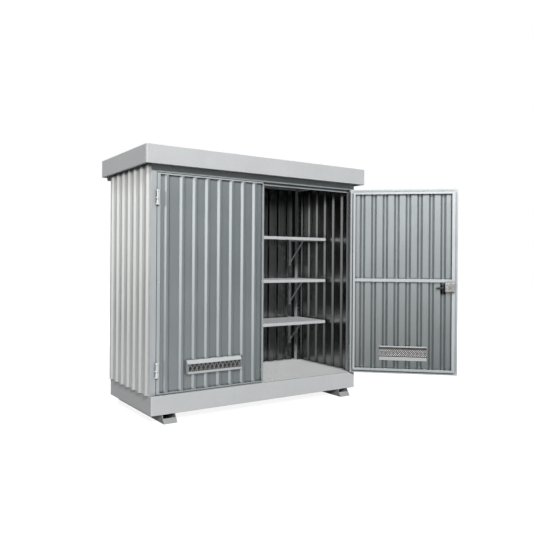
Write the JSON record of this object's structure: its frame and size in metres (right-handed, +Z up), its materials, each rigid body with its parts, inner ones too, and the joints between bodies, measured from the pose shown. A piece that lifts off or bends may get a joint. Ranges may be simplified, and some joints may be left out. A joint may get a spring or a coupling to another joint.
{
  "type": "container unit",
  "caption": "Prefabricated steel store: ribbed walls, sump base on runners, flat roof with fascia, shelves, floor gratings and two hinged, vented doors.",
  "frame": {"origin": "the middle of the base's footprint, on the ground under the two runners", "axes": "+X to the right as seen from the front, +Y to the back, +Z up"},
  "size_m": [3.0508, 1.8209, 2.328],
  "materials": {
    "galvanised_plate": "satin",
    "galvanised_sheet": "satin",
    "galvanised_bar": "satin",
    "zinc_fittings": "satin",
    "dark_mesh": "matte",
    "black_handle": "satin"
  },
  "bodies": {
    "store": {"base_tray": "galvanised_plate", "left_runner": "galvanised_plate", "right_runner": "galvanised_plate", "grating_bearers": "galvanised_bar", "left_grating": "galvanised_bar", "right_grating": "galvanised_bar", "front_left_post": "galvanised_plate", "front_right_post": "galvanised_plate", "rear_left_post": "galvanised_plate", "rear_right_post": "galvanised_plate", "lintel": "galvanised_plate", "rear_rail": "galvanised_plate", "left_rail": "galvanised_plate", "right_rail": "galvanised_plate", "left_wall": "galvanised_sheet", "right_wall": "galvanised_sheet", "rear_wall": "galvanised_sheet", "roof_deck": "galvanised_sheet", "front_fascia": "galvanised_plate", "rear_fascia": "galvanised_plate", "left_fascia": "galvanised_plate", "right_fascia": "galvanised_plate", "gutter": "galvanised_plate", "lower_shelf": "galvanised_sheet", "middle_shelf": "galvanised_sheet", "upper_shelf": "galvanised_sheet", "shelf_brackets": "galvanised_bar", "frame_hinges": "zinc_fittings"},
    "left_door": {"left_door_frame": "galvanised_plate", "left_door_sheet": "galvanised_sheet", "left_door_rail": "galvanised_plate", "left_door_vent": "galvanised_plate", "left_door_mesh": "dark_mesh", "left_door_strip": "galvanised_plate", "left_door_hinges": "zinc_fittings"},
    "right_door": {"right_door_frame": "galvanised_plate", "right_door_sheet": "galvanised_sheet", "right_door_rail": "galvanised_plate", "right_door_vent": "galvanised_plate", "right_door_mesh": "dark_mesh", "right_door_hinges": "zinc_fittings", "lock_case": "zinc_fittings", "lock_plates": "black_handle"},
    "handle": {"door_handle": "black_handle"}
  },
  "joints": [
    {"name": "left_door_hinge", "type": "hinge", "parent": "store", "child": "left_door", "pos_m": [-1.0725, -0.486, 0.444], "axis": [0, 0, -1], "range_deg": [0, 165]},
    {"name": "right_door_hinge", "type": "hinge", "parent": "store", "child": "right_door", "pos_m": [1.0725, -0.486, 0.444], "axis": [0, 0, 1], "range_deg": [-137, 28]},
    {"name": "lever", "type": "hinge", "parent": "right_door", "child": "handle", "pos_m": [1.74306, -1.12908, 1.11], "axis": [-0.682, -0.7314, 0], "range_deg": [0, 45], "stiffness_Nm_per_rad": 0.8, "springref_deg": -11.46}
  ]
}
